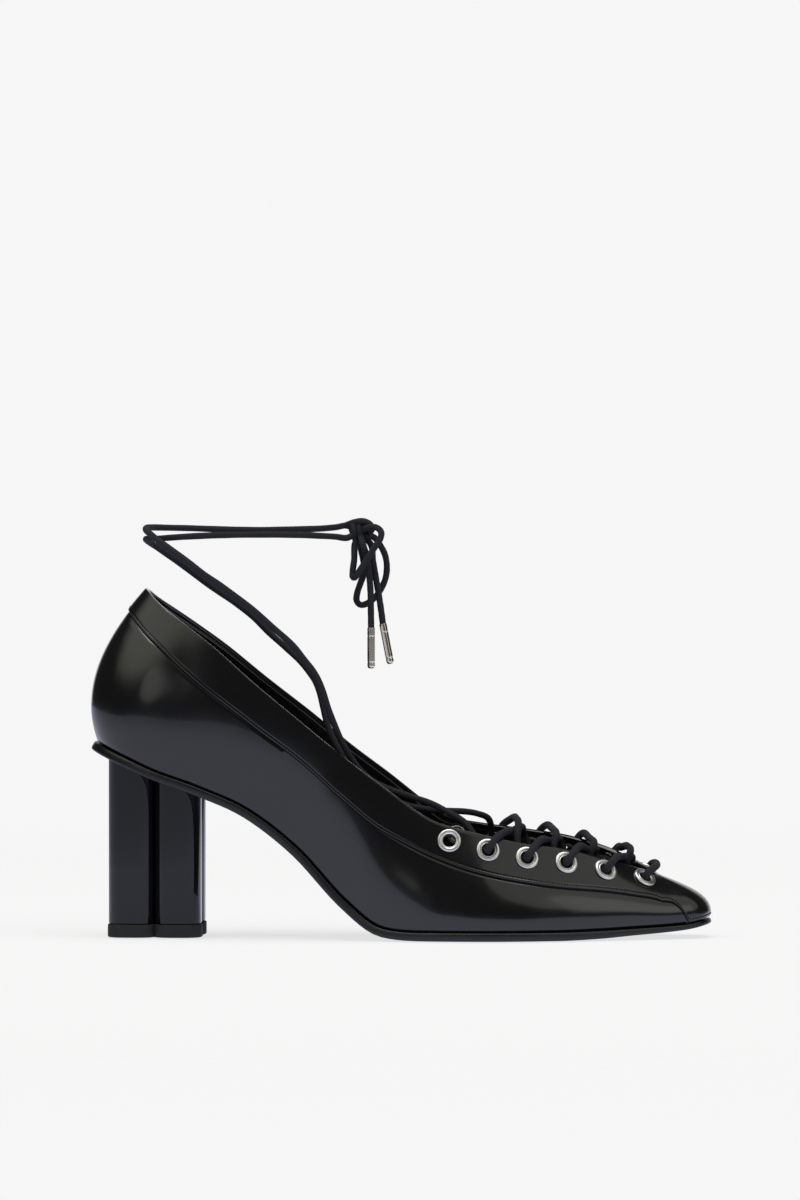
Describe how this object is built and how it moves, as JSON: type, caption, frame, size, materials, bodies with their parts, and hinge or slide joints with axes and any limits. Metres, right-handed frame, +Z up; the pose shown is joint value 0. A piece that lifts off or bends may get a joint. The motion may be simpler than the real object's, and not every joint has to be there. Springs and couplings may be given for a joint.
{
  "type": "lace up heel",
  "caption": "Polished leather court shoe with an open laced throat, a cord ankle tie with a bow, and a clover-shaped pillar heel.",
  "frame": {"origin": "middle of the heel's flat underside, on the floor", "axes": "+X towards the toe, -Y towards the foot's outer side, +Z up"},
  "size_m": [0.2504, 0.0745, 0.1676],
  "materials": {
    "upper_leather": "polished",
    "insole_leather": "satin",
    "sole_rubber": "satin",
    "heel_plastic": "high gloss",
    "lift_rubber": "matte",
    "eyelet_metal": "polished",
    "lace_cord": "braided, matte",
    "aglet_metal": "polished, pale gold"
  },
  "bodies": {
    "root": {"upper": "upper_leather", "outsole": "sole_rubber", "insole": "insole_leather", "heel": "heel_plastic", "top_lift": "lift_rubber", "lacing": "lace_cord", "tie_outer": "lace_cord", "tie_inner": "lace_cord", "bow_knot": "lace_cord", "bow_loop_1": "lace_cord", "bow_loop_2": "lace_cord", "lace_end_1": "lace_cord", "lace_end_2": "lace_cord", "aglet_1": "aglet_metal", "aglet_2": "aglet_metal", "eyelet_outer_1": "eyelet_metal", "eyelet_outer_2": "eyelet_metal", "eyelet_outer_3": "eyelet_metal", "eyelet_outer_4": "eyelet_metal", "eyelet_outer_5": "eyelet_metal", "eyelet_outer_6": "eyelet_metal", "eyelet_inner_1": "eyelet_metal", "eyelet_inner_2": "eyelet_metal", "eyelet_inner_3": "eyelet_metal", "eyelet_inner_4": "eyelet_metal", "eyelet_inner_5": "eyelet_metal", "eyelet_inner_6": "eyelet_metal"}
  },
  "joints": []
}
